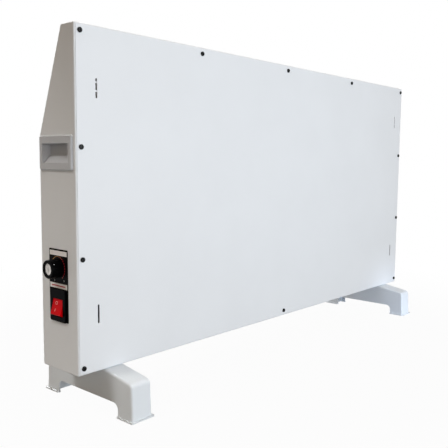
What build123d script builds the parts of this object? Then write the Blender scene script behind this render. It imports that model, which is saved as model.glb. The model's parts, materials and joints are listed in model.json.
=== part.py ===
from build123d import *
import math
import os

# A wall panel convector heater standing on two feet. Lengths are in millimetres.
# X runs along the panel, with the controls at the +X end. Y runs from the sloping front at -Y to the
# flat rear cover at +Y. Z is up from the floor. X = 0 is the middle of the overall length, which the
# knob makes a little longer at the control end. The pieces are drawn about the middle of the casing
# and moved to that origin when they are written.

# casing
casing_length = 1000.0
casing_height = 500.0
casing_depth = 90.0  # rear cover included
top_depth = 32.0  # rear cover included
slope_height = 155.0  # of the sloping part, from the fold up to the top
sheet = 0.8  # steel of the casing, the end plates and the cover
corner_radius = 3.0  # outside of the casing's folds
rim_width = 2.5  # edge of an end plate that shows round the casing
rim_radius = 2.0
seam = 0.3  # between an end plate's rim and the casing
overcut = 1.0  # of a cutter beyond the face it opens
rear_flange = 18.0
end_flange = 15.0

# rear cover, its screws and its hanging slots
screw_inset_x = 9.2
screw_inset_z = 10.7
side_screws = 4
top_screws = 5
screw_shank = 3.9
screw_head = 7.5
screw_head_height = 2.4
screw_head_edge = 0.8
screw_length = 9.5
screw_clearance = 0.1
driver_slot = 1.0
slot_width = 3.0
slot_length = 28.0
slot_inset = 36.5
slot_rise = 87.0  # from the casing's edge to the middle of a slot
hanger_width = 34.0
hanger_height = 56.0
hanger_sheet = 1.5
hanger_windows = [(-14.0, -5.2), (-2.7, 7.5), (9.5, 14.0)]  # along the slot from its middle

# outlet grille in the sloping front
grille_end_margin = 70.0  # from the casing's end to the opening
grille_height = 112.0
grille_lap = 8.0  # round the opening, behind the sheet
grille_sheet = 0.8
slanted_sheet = 1.2  # grille sheet as it is cut across by a louvre's slant
louvre_columns = 10
louvre_rows = 7
louvre_gap = 7.0  # between neighbours in a row
louvre_height = 9.0
louvre_rise = 5.0
louvre_end_slant = 4.0

# inlet slots in the underside
inlet_slots = 10
inlet_slot_length = 56.0
inlet_slot_width = 11.0
inlet_end_margin = 130.0  # from the casing's end to the last slots' middle
inlet_rows = [17.0, 39.0, 61.0]  # behind the casing's front

# feet
foot_height = 66.0
foot_width = 38.0
foot_reach = 108.0  # from the middle of the casing to the end of a foot, at the floor
foot_shoulder_reach = 105.0
foot_shoulder_drop = 9.5
foot_shoulder_radius = 8.0
foot_edge_radius = 3.5
foot_wall = 2.5
foot_inset = 65.5  # from the end of the casing to the middle of a foot
arch_height = 21.0
arch_half_length = 75.0
arch_radius = 10.0
foot_flange = 3.2
foot_flange_height = 2.0
foot_flange_end = 2.6  # beyond the end of the foot
foot_flange_lip = 0.8  # into the arch
foot_rib = 2.0
foot_rib_recess = 9.0  # cross rib behind the arch's end
foot_rib_lift = 1.5
boss_radius = 5.5
boss_spacing = 50.0
boss_depth = 33.0
foot_screw_head = 7.6
foot_screw_head_height = 2.6
foot_screw_shank = 4.0
foot_screw_grip = 4.0  # plastic under the screw's head
foot_screw_tip = 2.4  # beyond the nut
foot_nut_width = 7.0
foot_nut_height = 3.2

# fittings on the control end
fittings_y = -1.5  # of the dial and the handle
scale_y = -0.4
scale_width = 45.6
scale_bottom = 75.0  # from the underside
scale_top = 182.0
scale_sheet = 0.8
scale_corner = 1.5
knob_height = 154.0
knob_diameter = 28.0
knob_reach = 18.2  # from the end plate to the knob's face
knob_gap = 0.8  # between the scale plate and the knob
knob_draft = 0.5
knob_edge = 1.0
knob_flutes = 20
flute_radius = 0.7
flute_stop = 3.0  # behind the knob's face
disc_diameter = 17.3
disc_thickness = 1.0
disc_recess = 1.2  # behind the knob's face
disc_edge = 0.2
knob_nut_clearance = 1.0
spindle_diameter = 6.0
spindle_flat = 1.2  # cut away for the flat
spindle_cover = 4.0  # knob in front of the spindle's end
spindle_clearance = 0.05
bush_diameter = 10.0
bush_clearance = 0.2
thermostat_nut_width = 14.0
thermostat_nut_height = 2.5
thermostat_width = 36.0
thermostat_height = 44.0
thermostat_depth = 24.0
thermostat_floor = 3.0  # behind the spindle's end
thermostat_blade_rise = 11.0  # above the spindle
capillary_drop = 11.0  # below the spindle

# switch
switch_y = -0.5
rocker_height = 95.5  # of its pivot, from the underside
rocker_width = 24.5
rocker_half = 11.5  # from the pivot to a corner, along the rocker
rocker_rise = 6.0  # from the pivot to the corners, when level
pivot_depth = 1.0  # behind the end plate's face
rocker_dip = 0.8  # in the middle of its face
rocker_skirt = 3.2  # behind the pivot
rocker_tilt = 14.0
rocker_edge = 0.6
rocker_gap = 0.4
pivot_diameter = 3.0
pivot_clearance = 0.05
switch_wall = 1.3
switch_depth = 26.0  # behind the end plate
bezel_width = 38.0
bezel_bottom = 74.5  # from the underside
bezel_top = 123.0
bezel_thickness = 2.5
bezel_corner = 2.0
bezel_bevel = 0.8
blade_width = 6.3
blade_thickness = 0.8
blade_length = 8.0
lamp_diameter = 4.0
lamp_length = 11.0

# recessed handles
handle_drop = 178.5  # of the flange's middle, below the casing's top
handle_flange_width = 80.0
handle_flange_height = 50.0
handle_proud = 3.0
handle_bevel = 1.4
handle_corner = 3.0
handle_opening_width = 64.0
handle_opening_height = 28.0
handle_opening_drop = 0.5  # below the flange's middle
handle_depth = 11.0  # behind the end plate's face
handle_floor_rise = 12.0
handle_hook = 6.0  # hollow above the opening, for the fingers
handle_wall = 2.0
handle_clearance = 0.3
snap_width = 12.0
snap_rise = 1.2
snap_length = 4.8

# element and what carries it
element_setback = 115.0  # from the casing's end to the bar's end
element_y = -4.0
element_height = 95.0  # from the underside
hub_radius = 7.0
arm_length = 42.0
arm_angle = 56.0
arm_thickness = 2.2
fin_places = [14.0, 22.0, 30.0, 38.0]
fin_length = 11.0
fin_thickness = 1.4
pin_radius = 4.0
pin_length = 34.0
bracket_setback = 96.0  # from the casing's end
bracket_sheet = 1.2
bracket_width = 54.0
bracket_top = 125.0  # from the underside
bracket_foot = 16.0
element_bush_radius = 7.0
element_bush_lip = 3.0
element_bush_length = 6.0

# partition, heat shield and small electrical pieces
partition_setback = 43.0  # from the casing's end
partition_sheet = 0.8
partition_rear_gap = 4.0
partition_lip = 10.0
shield_end_gap = 27.0  # between the partition and the shield's end
shield_depth = 10.0  # in front of the rear flanges
shield_sheet = 0.5
shield_lip = 12.0
grommet_setback = 11.0  # behind the casing's front
grommet_height = 34.0  # from the underside
grommet_radius = 6.0
grommet_lip = 2.0
grommet_bore = 3.0
cutout_y = 12.0
cutout_height = 125.0
cutout_radius = 8.0
cutout_depth = 9.0
cutout_ears = 30.0
block_width = 36.0
block_height = 20.0
block_depth = 18.0
block_z = 40.0  # of its middle, from the underside
block_screw_radius = 2.2
block_way_depth = 5.0
inlet_bush_setback = 30.0  # from the casing's end
inlet_bush_y = 14.0
inlet_bush_radius = 6.5
inlet_bush_bore = 4.0
inlet_bush_lip = 2.0
earth_y = 28.0
earth_length = 12.0
bulb_radius = 3.0
bulb_length = 46.0
bulb_z = 16.0  # above the underside
bulb_setback = 22.0  # from the casing's end
capillary_radius = 0.8
capillary_bend = 8.0
capillary_reach = 12.0
clip_width = 8.0
clip_sheet = 0.8
wire_radius = 1.3
wire_bend = 8.0
wire_spacing = 3.0  # of two leads in the grommet
wire_lead = 12.0  # straight run of a lead in front of a blade
wire_hole_clearance = 0.1

# planes and lines that the sizes above give
end_x = casing_length / 2
front_y = -casing_depth / 2
cover_y = casing_depth / 2
seat_y = cover_y - sheet  # the rear flanges' outer face, where the cover lies
top_front_y = cover_y - top_depth
underside_z = foot_height
floor_z = underside_z + sheet  # upper face of the casing's bottom
top_z = underside_z + casing_height
fold_z = top_z - slope_height
slope = math.atan2(top_front_y - front_y, top_z - fold_z)  # of the upper front, from upright
plate_x = end_x - sheet  # inner face of an end plate
scale_face_x = end_x + scale_sheet
knob_z = underside_z + knob_height
knob_face_x = end_x + knob_reach
spindle_end_x = knob_face_x - spindle_cover
switch_z = underside_z + rocker_height
pivot_x = end_x - pivot_depth
rocker_radius = math.hypot(rocker_half, rocker_rise)
switch_back_x = end_x - switch_depth
screw_x = end_x - screw_inset_x
screw_low_z = underside_z + screw_inset_z
screw_high_z = top_z - screw_inset_z
slot_x = end_x - slot_inset
foot_x = end_x - foot_inset
element_z = underside_z + element_height
element_end_x = end_x - element_setback
bracket_x = end_x - bracket_setback
partition_x = end_x - partition_setback
inlet_bush_x = end_x - inlet_bush_setback
bulb_x = end_x - bulb_setback
grommet_y = front_y + grommet_setback
grille_length = casing_length - 2 * grille_end_margin
handle_z = top_z - handle_drop
opening_z = handle_z - handle_opening_drop
origin_shift = -(knob_reach - handle_proud) / 2  # puts X = 0 in the middle of the overall length


def block(x0, x1, y0, y1, z0, z1):
    """Rectangular block between six planes."""
    middle = Pos((x0 + x1) / 2, (y0 + y1) / 2, (z0 + z1) / 2)
    return middle * Box(x1 - x0, y1 - y0, z1 - z0)


def rod_x(x0, x1, y, z, radius):
    """Round rod along X."""
    return Pos((x0 + x1) / 2, y, z) * Rot(0, 90, 0) * Cylinder(radius, x1 - x0)


def rod_y(y0, y1, x, z, radius):
    """Round rod along Y."""
    return Pos(x, (y0 + y1) / 2, z) * Rot(90, 0, 0) * Cylinder(radius, y1 - y0)


def rod_z(z0, z1, x, y, radius):
    """Round rod along Z."""
    return Pos(x, y, (z0 + z1) / 2) * Cylinder(radius, z1 - z0)


def hexagon_x(x0, x1, y, z, width):
    """Hexagonal prism along X, as wide across its flats as given."""
    face = RegularPolygon(width / 2, 6, major_radius=False)
    return Pos(x0, y, z) * extrude(Plane.YZ * face, x1 - x0)


def hexagon_z(z0, z1, x, y, width):
    """Hexagonal prism along Z, as wide across its flats as given."""
    return Pos(x, y, z0) * extrude(RegularPolygon(width / 2, 6, major_radius=False), z1 - z0)


def along_x(face, x0, x1):
    """Prism of a face drawn in Y and Z, between two planes across the length."""
    return Pos(x0, 0, 0) * extrude(Plane.YZ * face, x1 - x0)


def other_end(piece):
    """The piece as it is made for the far end."""
    return mirror(piece, about=Plane.YZ)


def rounded_plate(x0, x1, y, z, width, height, radius):
    """Upright plate across the length with rounded corners, centred on y and z."""
    return Pos(x0, y, z) * extrude(Plane.YZ * RectangleRounded(width, height, radius), x1 - x0)


def casing_outline(inset, rear_y, radius):
    """Cross-section of the casing, drawn in by inset on all sides but the rear."""
    corners = [
        (rear_y, underside_z + inset),
        (front_y + inset, underside_z + inset),
        (front_y + inset, fold_z - inset * math.tan(slope / 2)),
        (top_front_y + inset * math.tan(math.pi / 4 - slope / 2), top_z - inset),
        (rear_y, top_z - inset),
    ]
    face = make_face(Polyline(*corners, close=True))
    return fillet(face.vertices(), radius)


def slope_plane(inset):
    """Plane on the sloping front, drawn in by inset: X along the casing, Y up the slope, Z outward."""
    outward = (0, -math.cos(slope), math.sin(slope))
    middle_y = (front_y + top_front_y) / 2 - inset * outward[1]
    middle_z = (fold_z + top_z) / 2 - inset * outward[2]
    return Plane(origin=(0, middle_y, middle_z), x_dir=(1, 0, 0), z_dir=outward)


def cover_screw_places():
    """X and Z of the twelve screws that hold the rear cover."""
    rise = (screw_high_z - screw_low_z) / (side_screws - 1)
    run = 2 * screw_x / (top_screws - 1)
    sides = [(x, screw_low_z + i * rise) for x in (-screw_x, screw_x) for i in range(side_screws)]
    top = [(-screw_x + i * run, screw_high_z) for i in range(1, top_screws - 1)]
    return sides + top + [(0, screw_low_z)]


def cover_screw_holes(radius):
    """Rods through the rear flanges and the cover at the screws."""
    return [rod_y(seat_y - 3 * sheet, cover_y + sheet, x, z, radius) for x, z in cover_screw_places()]


def foot_screw_places():
    """X and Y of the screws that hold the feet."""
    return [(x, y) for x in (-foot_x, foot_x) for y in (-boss_spacing / 2, boss_spacing / 2)]


def make_casing_shell():
    """Folded wrapper: bottom, front, sloping front, top and the two rear flanges."""
    end = end_x - rim_width - seam
    shell = along_x(casing_outline(0, seat_y, corner_radius), -end, end)
    shell -= along_x(casing_outline(sheet, seat_y - sheet, corner_radius - sheet), -end, end)
    window_low = underside_z + rear_flange
    shell -= block(-end, end, seat_y - 2 * sheet, cover_y, window_low, top_z - rear_flange)
    opening = extrude(slope_plane(0) * Rectangle(grille_length, grille_height), 2 * sheet, both=True)
    first = inlet_end_margin - end_x
    pitch = -2 * first / (inlet_slots - 1)
    slot = extrude(SlotOverall(inlet_slot_length, inlet_slot_width), 4 * sheet)
    slots = [
        Pos(first + i * pitch, front_y + y, underside_z - sheet) * slot
        for i in range(inlet_slots)
        for y in inlet_rows
    ]
    drills = [
        rod_z(underside_z - sheet, floor_z + sheet, x, y, foot_screw_shank / 2 + screw_clearance)
        for x, y in foot_screw_places()
    ]
    inlet = rod_z(underside_z - sheet, floor_z + sheet, inlet_bush_x, inlet_bush_y, inlet_bush_radius)
    pilots = cover_screw_holes(screw_shank / 2 + screw_clearance / 2)
    return shell - opening - slots - drills - inlet - pilots


def make_end_plate():
    """Pressed end pan: rounded rim, flange under the wrapper and flange for the cover's side screws."""
    pan = along_x(casing_outline(0, seat_y, corner_radius), end_x - rim_width, end_x)
    pan = fillet(pan.faces().sort_by(Axis.X)[-1].edges(), rim_radius)
    inner_radius = corner_radius - sheet
    pan -= along_x(
        casing_outline(2 * sheet, seat_y - 2 * sheet, inner_radius), end_x - rim_width, plate_x
    )
    tuck_x = end_x - rim_width - end_flange
    tuck = along_x(casing_outline(sheet, seat_y - sheet, inner_radius), tuck_x, plate_x - sheet / 2)
    tuck -= along_x(casing_outline(2 * sheet, cover_y, inner_radius), tuck_x, plate_x)
    ledge_low = underside_z + rear_flange + seam
    ledge_high = top_z - rear_flange - seam
    ledge = block(tuck_x, plate_x - sheet / 2, seat_y - sheet, seat_y, ledge_low, ledge_high)
    return pan + tuck + ledge - cover_screw_holes(screw_shank / 2 + screw_clearance / 2)


def cup_outline(grow):
    """Handle's hollow in X and Z: sloping floor, hook for the fingers above the opening."""
    low = opening_z - handle_opening_height / 2
    high = opening_z + handle_opening_height / 2
    back = end_x - handle_depth
    lip = end_x - handle_wall
    points = [
        (end_x + handle_proud, low - grow),
        (end_x, low - grow),
        (back - grow, low + handle_floor_rise - grow),
        (back - grow, high + handle_hook + grow),
        (lip - grow / 2, high + handle_hook + grow),
        (lip - grow / 2, high + grow),
        (end_x + handle_proud, high + grow),
    ]
    return Plane.XZ * make_face(Polyline(*points, close=True))


def handle_hole():
    """Opening in an end plate that lets the handle's cup through."""
    low = opening_z - handle_opening_height / 2 - handle_wall - handle_clearance
    high = opening_z + handle_opening_height / 2 + handle_hook + handle_wall + handle_clearance
    half = handle_opening_width / 2 + handle_wall + handle_clearance
    return block(plate_x - sheet, end_x + sheet, fittings_y - half, fittings_y + half, low, high)


def make_handle_cup():
    """Moulded carrying handle: bevelled flange, scooped cup and snap lugs behind the sheet."""
    flange = rounded_plate(
        end_x,
        end_x + handle_proud,
        fittings_y,
        handle_z,
        handle_flange_width,
        handle_flange_height,
        handle_corner,
    )
    flange = chamfer(flange.faces().sort_by(Axis.X)[-1].edges(), handle_bevel)
    half = handle_opening_width / 2
    outer = extrude(cup_outline(handle_wall), half + handle_wall, both=True)
    outer &= block(0, end_x + sheet / 2, -casing_depth, casing_depth, 0, top_z)
    inner = extrude(cup_outline(0), half, both=True)
    lug_profile = [
        (plate_x, 0),
        (plate_x, half + handle_wall + handle_clearance + snap_rise),
        (plate_x - snap_length, half + handle_wall),
        (plate_x - snap_length, 0),
    ]
    lug = extrude(make_face(Polyline(*lug_profile, close=True)), snap_width / 2, both=True)
    lugs = Pos(0, 0, opening_z) * (lug + mirror(lug, about=Plane.XZ))
    cup = flange + Pos(0, fittings_y, 0) * (outer + lugs)
    return cup - Pos(0, fittings_y, 0) * inner


def make_end_plate_control():
    """End plate with the holes for the handle, the thermostat's bush and the switch."""
    plate = make_end_plate() - handle_hole()
    plate -= rod_x(plate_x - sheet, end_x + sheet, fittings_y, knob_z, bush_diameter / 2 + bush_clearance)
    return plate - switch_hole(plate_x - sheet, end_x + sheet, bush_clearance)


def switch_hole(x0, x1, clearance):
    """Block that clears the switch's body through a plate."""
    half_y = rocker_width / 2 + rocker_gap + switch_wall + clearance
    half_z = rocker_radius + rocker_gap + switch_wall + clearance
    return block(x0, x1, switch_y - half_y, switch_y + half_y, switch_z - half_z, switch_z + half_z)


def make_rear_cover():
    """Flat sheet on the rear flanges, with its screw holes and hanging slots."""
    width = casing_length - 2 * rim_width
    height = casing_height - 2 * rim_width
    middle_z = (underside_z + top_z) / 2
    face = Rectangle(width, height)
    cover = Pos(0, cover_y, middle_z) * extrude(Plane.XZ * face, sheet)
    slot = extrude(Plane.XZ * (Rot(0, 0, 90) * SlotOverall(slot_length, slot_width)), 3 * sheet)
    slots = [
        Pos(x, cover_y + sheet, z) * slot
        for x in (-slot_x, slot_x)
        for z in (underside_z + slot_rise, top_z - slot_rise)
    ]
    return cover - slots - cover_screw_holes(screw_shank / 2 + screw_clearance)


def make_cover_screws():
    """Twelve pan-head screws with a cross recess."""
    head = rod_y(0, screw_head_height, 0, 0, screw_head / 2)
    head = chamfer(head.edges().group_by(Axis.Y)[-1], screw_head_edge)
    wing = block(
        -screw_head / 4,
        screw_head / 4,
        screw_head_height / 2,
        screw_head_height + overcut,
        -driver_slot / 2,
        driver_slot / 2,
    )
    screw = head - wing - Rot(0, 90, 0) * wing
    screw += rod_y(-screw_length, 0, 0, 0, screw_shank / 2)
    return [Pos(x, cover_y, z) * screw for x, z in cover_screw_places()]


def make_hanger_plate():
    """Stiffening plate behind an upper slot, with the windows that show through it."""
    slot_z = top_z - slot_rise
    x0 = slot_x - hanger_width / 2
    x1 = slot_x + hanger_width / 2
    z0 = slot_z - hanger_height / 2
    z1 = slot_z + hanger_height / 2
    plate = block(x0, x1, seat_y - hanger_sheet, seat_y, z0, z1)
    windows = [
        block(
            slot_x - slot_width / 2,
            slot_x + slot_width / 2,
            seat_y - 2 * hanger_sheet,
            seat_y + sheet,
            slot_z + low,
            slot_z + high,
        )
        for low, high in hanger_windows
    ]
    return plate - windows


def make_outlet_grille():
    """Louvred outlet panel lying behind the opening in the sloping front."""
    panel = extrude(
        Rectangle(grille_length + 2 * grille_lap, grille_height + 2 * grille_lap), -grille_sheet
    )
    column = grille_length / louvre_columns
    row = grille_height / louvre_rows
    width = column - louvre_gap
    hood = louvre_wedge(width, louvre_height, louvre_rise)
    thin = grille_sheet
    inner_height = louvre_height - slanted_sheet
    hollow = louvre_wedge(width - 2 * thin, inner_height, louvre_rise - slanted_sheet)
    mouth = block(-width / 2 + thin, width / 2 - thin, -thin, inner_height, -2 * thin, 0)
    places = [
        Pos((i - (louvre_columns - 1) / 2) * column, (j - (louvre_rows - 1) / 2) * row, 0)
        for i in range(louvre_columns)
        for j in range(louvre_rows)
    ]
    drop = Pos(0, -louvre_height / 2, 0)
    shell = hood - hollow
    panel = panel + [place * drop * shell for place in places]
    panel = panel - [place * drop * mouth for place in places]
    return slope_plane(sheet) * panel


def louvre_wedge(width, height, rise):
    """Hood that rises towards the open lower edge, with slanting ends."""
    side = make_face(Polyline((0, 0), (0, rise), (height, 0), close=True))
    prism = Pos(-width / 2, 0, 0) * extrude(Plane.YZ * side, width)
    half = width / 2
    slant = louvre_end_slant * rise / louvre_rise
    front = make_face(Polyline((-half, 0), (half, 0), (half - slant, rise), (slant - half, rise), close=True))
    return prism & extrude(Plane.XZ * front, -height)


def make_foot():
    """Moulded foot: arched hollow shell with ribs, screw bosses and a flange at the floor."""
    shoulder_z = foot_height - foot_shoulder_drop
    half_body = casing_depth / 2
    outline = [
        (-foot_reach, 0),
        (-arch_half_length, 0),
        (-arch_half_length, arch_height),
        (arch_half_length, arch_height),
        (arch_half_length, 0),
        (foot_reach, 0),
        (foot_shoulder_reach, shoulder_z),
        (half_body, foot_height),
        (-half_body, foot_height),
        (-foot_shoulder_reach, shoulder_z),
    ]
    face = make_face(Polyline(*outline, close=True))
    shoulders = face.vertices().filter_by(lambda v: abs(abs(v.X) - foot_shoulder_reach) < 0.01)
    face = fillet(shoulders, foot_shoulder_radius)
    arch = face.vertices().filter_by(lambda v: abs(v.Y - arch_height) < 0.01)
    face = fillet(arch, arch_radius)
    body = along_x(face, -foot_width / 2, foot_width / 2)
    rims = body.edges().filter_by(lambda e: abs(abs(e.center().X) - foot_width / 2) < 0.01)
    upper = rims.filter_by(lambda e: not runs_round_arch(e))
    body = fillet(upper, foot_edge_radius)
    hollow_points = [
        (-foot_reach + foot_wall, -overcut),
        (foot_reach - foot_wall, -overcut),
        (foot_shoulder_reach - foot_wall, shoulder_z - foot_wall),
        (half_body, foot_height - foot_wall),
        (-half_body, foot_height - foot_wall),
        (-foot_shoulder_reach + foot_wall, shoulder_z - foot_wall),
    ]
    hollow_half = foot_width / 2 - foot_wall
    hollow = along_x(make_face(Polyline(*hollow_points, close=True)), -hollow_half, hollow_half)
    foot = body - hollow
    foot += foot_ribs() & hollow
    foot += foot_flanges() - hollow
    for _, y in foot_screw_places()[:2]:
        foot += rod_z(boss_top() - boss_depth, boss_top(), 0, y, boss_radius)
        foot -= rod_z(0, foot_height - foot_screw_grip, 0, y, foot_screw_head / 2 + screw_clearance)
        foot -= rod_z(0, foot_height + overcut, 0, y, foot_screw_shank / 2 + screw_clearance)
    return Pos(foot_x, 0, 0) * foot


def boss_top():
    """Height of the foot's inner ceiling."""
    return foot_height - foot_wall


def runs_round_arch(edge):
    """Whether an edge of the foot's outline lies at the floor or on the arch."""
    middle = edge.center()
    return abs(middle.Y) <= arch_half_length + 0.01 and middle.Z <= arch_height + 0.01 or middle.Z < 0.01


def foot_ribs():
    """Cross ribs in the pads and over the arch, and one rib along the foot."""
    half = foot_width / 2
    rib_y = arch_half_length + foot_rib_recess
    pieces = []
    for side in (-1, 1):
        y0, y1 = sorted((side * rib_y, side * (rib_y + foot_rib)))
        pieces.append(block(-half, half, y0, y1, foot_rib_lift, foot_height))
        y0, y1 = sorted((side * (boss_spacing - foot_rib), side * boss_spacing))
        pieces.append(block(-half, half, y0, y1, arch_height + foot_rib_recess, foot_height))
    lip = foot_rib / 2
    pieces.append(block(-lip, lip, -rib_y, rib_y, arch_height + foot_rib_recess, foot_height))
    return pieces[0] + pieces[1:]


def foot_flanges():
    """Flat flanges round the two pads of a foot."""
    inner = arch_half_length - foot_flange_lip
    outer = foot_reach + foot_flange_end
    half = foot_width / 2 + foot_flange
    pad = block(-half, half, inner, outer, 0, foot_flange_height)
    pad = fillet(pad.edges().filter_by(Axis.Z), foot_flange)
    return pad + mirror(pad, about=Plane.XZ)


def make_foot_screws():
    """Pan-head screws that hold the feet, put in from below."""
    seat = foot_height - foot_screw_grip
    tip = floor_z + foot_nut_height + foot_screw_tip
    screws = []
    for x, y in foot_screw_places():
        head = rod_z(seat - foot_screw_head_height, seat, x, y, foot_screw_head / 2)
        groove_z = seat - foot_screw_head_height / 2
        groove = block(
            x - foot_screw_head, x + foot_screw_head, y - driver_slot / 2, y + driver_slot / 2, 0, groove_z
        )
        screws.append(head - groove + rod_z(seat, tip, x, y, foot_screw_shank / 2))
    return screws


def make_foot_nuts():
    """Nuts on the casing's bottom."""
    return [
        hexagon_z(floor_z, floor_z + foot_nut_height, x, y, foot_nut_width)
        - rod_z(0, top_z, x, y, foot_screw_shank / 2)
        for x, y in foot_screw_places()
    ]


def make_scale_plate():
    """Thin plate round the dial and the switch."""
    middle_z = underside_z + (scale_bottom + scale_top) / 2
    height = scale_top - scale_bottom
    plate = rounded_plate(end_x, scale_face_x, scale_y, middle_z, scale_width, height, scale_corner)
    front_x = scale_face_x + overcut
    plate -= rod_x(plate_x, front_x, fittings_y, knob_z, bush_diameter / 2 + bush_clearance)
    return plate - switch_hole(plate_x, front_x, bush_clearance)


def make_knob():
    """Dial knob: tapered and fluted, hollow round the nut, bored for the spindle, recessed face."""
    back_x = scale_face_x + knob_gap
    radius = knob_diameter / 2
    depth = knob_face_x - back_x
    cone = Pos((back_x + knob_face_x) / 2, fittings_y, knob_z) * Rot(0, 90, 0)
    knob = cone * Cone(radius, radius - knob_draft, depth)
    knob = fillet(knob.edges().sort_by(Axis.X)[-1], knob_edge)
    flute_end = knob_face_x - flute_stop
    for i in range(knob_flutes):
        angle = 2 * math.pi * i / knob_flutes
        y = fittings_y + radius * math.cos(angle)
        z = knob_z + radius * math.sin(angle)
        knob -= rod_x(back_x - overcut, flute_end, y, z, flute_radius)
    nut_face = scale_face_x + thermostat_nut_height + knob_nut_clearance
    nut_hollow = thermostat_nut_width / math.sqrt(3) + knob_nut_clearance
    knob -= rod_x(back_x - overcut, nut_face + knob_nut_clearance, fittings_y, knob_z, nut_hollow)
    knob -= spindle_section(back_x, spindle_end_x)
    recess_x = knob_face_x - disc_recess - disc_thickness
    return knob - rod_x(recess_x, knob_face_x + overcut, fittings_y, knob_z, disc_diameter / 2)


def make_knob_disc():
    """Disc at the bottom of the recess in the knob's face."""
    x1 = knob_face_x - disc_recess
    disc = rod_x(x1 - disc_thickness, x1, fittings_y, knob_z, disc_diameter / 2)
    return chamfer(disc.edges().sort_by(Axis.X)[-1], disc_edge)


def spindle_section(x0, x1):
    """Rod with a flat, as the end of the spindle and the bore that fits it."""
    rod = rod_x(x0, x1, fittings_y, knob_z, spindle_diameter / 2)
    flat_z = knob_z + spindle_diameter / 2 - spindle_flat
    return rod - block(x0, x1, fittings_y - spindle_diameter, fittings_y + spindle_diameter, flat_z, top_z)


def thermostat_back():
    """X of the thermostat's back."""
    return plate_x - thermostat_depth


def make_thermostat_spindle():
    """Spindle from inside the thermostat to inside the knob, with its flat in the knob."""
    start = thermostat_back() + thermostat_floor
    flat_start = scale_face_x + thermostat_nut_height + 2 * knob_nut_clearance
    round_part = rod_x(start, flat_start, fittings_y, knob_z, spindle_diameter / 2)
    return round_part + spindle_section(flat_start, spindle_end_x)


def bush_face():
    """X of the front of the thermostat's threaded bush, flush with its nut."""
    return scale_face_x + thermostat_nut_height


def make_thermostat_body():
    """Thermostat case with its threaded bush through the end plate."""
    x0 = thermostat_back()
    case = block(
        x0,
        plate_x,
        fittings_y - thermostat_width / 2,
        fittings_y + thermostat_width / 2,
        knob_z - thermostat_height / 2,
        knob_z + thermostat_height / 2,
    )
    case = fillet(case.edges().filter_by(Axis.X), corner_radius)
    case += rod_x(plate_x, bush_face(), fittings_y, knob_z, bush_diameter / 2)
    bore = spindle_diameter / 2 + spindle_clearance
    case -= rod_x(x0 + thermostat_floor - bush_clearance, bush_face() + overcut, fittings_y, knob_z, bore)
    z = knob_z + thermostat_blade_rise
    blades = [
        block(x0 - blade_length, x0, y - blade_width / 2, y + blade_width / 2, z, z + blade_thickness)
        for y in (fittings_y - blade_width, fittings_y + blade_width)
    ]
    return case + blades


def make_thermostat_nut():
    """Nut that holds the thermostat and the scale plate."""
    nut = hexagon_x(scale_face_x, bush_face(), fittings_y, knob_z, thermostat_nut_width)
    return nut - rod_x(end_x, knob_face_x, fittings_y, knob_z, bush_diameter / 2)


def make_thermostat_capillary():
    """Capillary tube from the thermostat to the sensing bulb by the inlet."""
    start_y = fittings_y - thermostat_width / 2
    start_z = knob_z - capillary_drop
    out_y = start_y - capillary_reach
    low_z = floor_z + bulb_z
    route = [
        (bulb_x, start_y, start_z),
        (bulb_x, out_y, start_z),
        (bulb_x, out_y, low_z),
        (bulb_x, start_y, low_z),
    ]
    path = FilletPolyline(*route, radius=capillary_bend)
    section = Plane(origin=route[0], z_dir=(0, -1, 0)) * Circle(capillary_radius)
    tube = sweep(section, path=path)
    bulb = rod_y(start_y, start_y + bulb_length, bulb_x, low_z, bulb_radius)
    return tube + bulb


def make_bulb_clip():
    """Bent clip that holds the sensing bulb to the casing's bottom."""
    y0 = fittings_y - clip_width / 2
    y1 = fittings_y + clip_width / 2
    low_z = floor_z + bulb_z
    ring = rod_y(y0, y1, bulb_x, low_z, bulb_radius + clip_sheet)
    ring -= rod_y(y0, y1, bulb_x, low_z, bulb_radius)
    leg = block(bulb_x - clip_sheet / 2, bulb_x + clip_sheet / 2, y0, y1, floor_z, low_z - bulb_radius)
    base = block(bulb_x - clip_width / 2, bulb_x + clip_width / 2, y0, y1, floor_z, floor_z + clip_sheet)
    return ring + leg + base


def make_switch_bezel():
    """Frame of the switch on the scale plate."""
    middle_z = underside_z + (bezel_bottom + bezel_top) / 2
    height = bezel_top - bezel_bottom
    face_x = scale_face_x + bezel_thickness
    frame = rounded_plate(scale_face_x, face_x, switch_y, middle_z, bezel_width, height, bezel_corner)
    frame = chamfer(frame.faces().sort_by(Axis.X)[-1].edges(), bezel_bevel)
    half_y = rocker_width / 2 + rocker_gap
    half_z = rocker_radius + rocker_gap
    return frame - block(
        end_x,
        face_x + overcut,
        switch_y - half_y,
        switch_y + half_y,
        switch_z - half_z,
        switch_z + half_z,
    )


def make_switch_body():
    """Box that holds the rocker, snapped through the end plate up to the frame's back."""
    body = switch_hole(switch_back_x, scale_face_x, 0)
    half_y = rocker_width / 2 + rocker_gap
    cavity_x = pivot_x - rocker_radius - rocker_gap
    half_z = rocker_radius + rocker_gap
    body -= block(
        cavity_x, scale_face_x, switch_y - half_y, switch_y + half_y, switch_z - half_z, switch_z + half_z
    )
    reach = half_y + 2 * switch_wall
    bore = pivot_diameter / 2 + pivot_clearance
    return body - rod_y(switch_y - reach, switch_y + reach, pivot_x, switch_z, bore)


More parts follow.
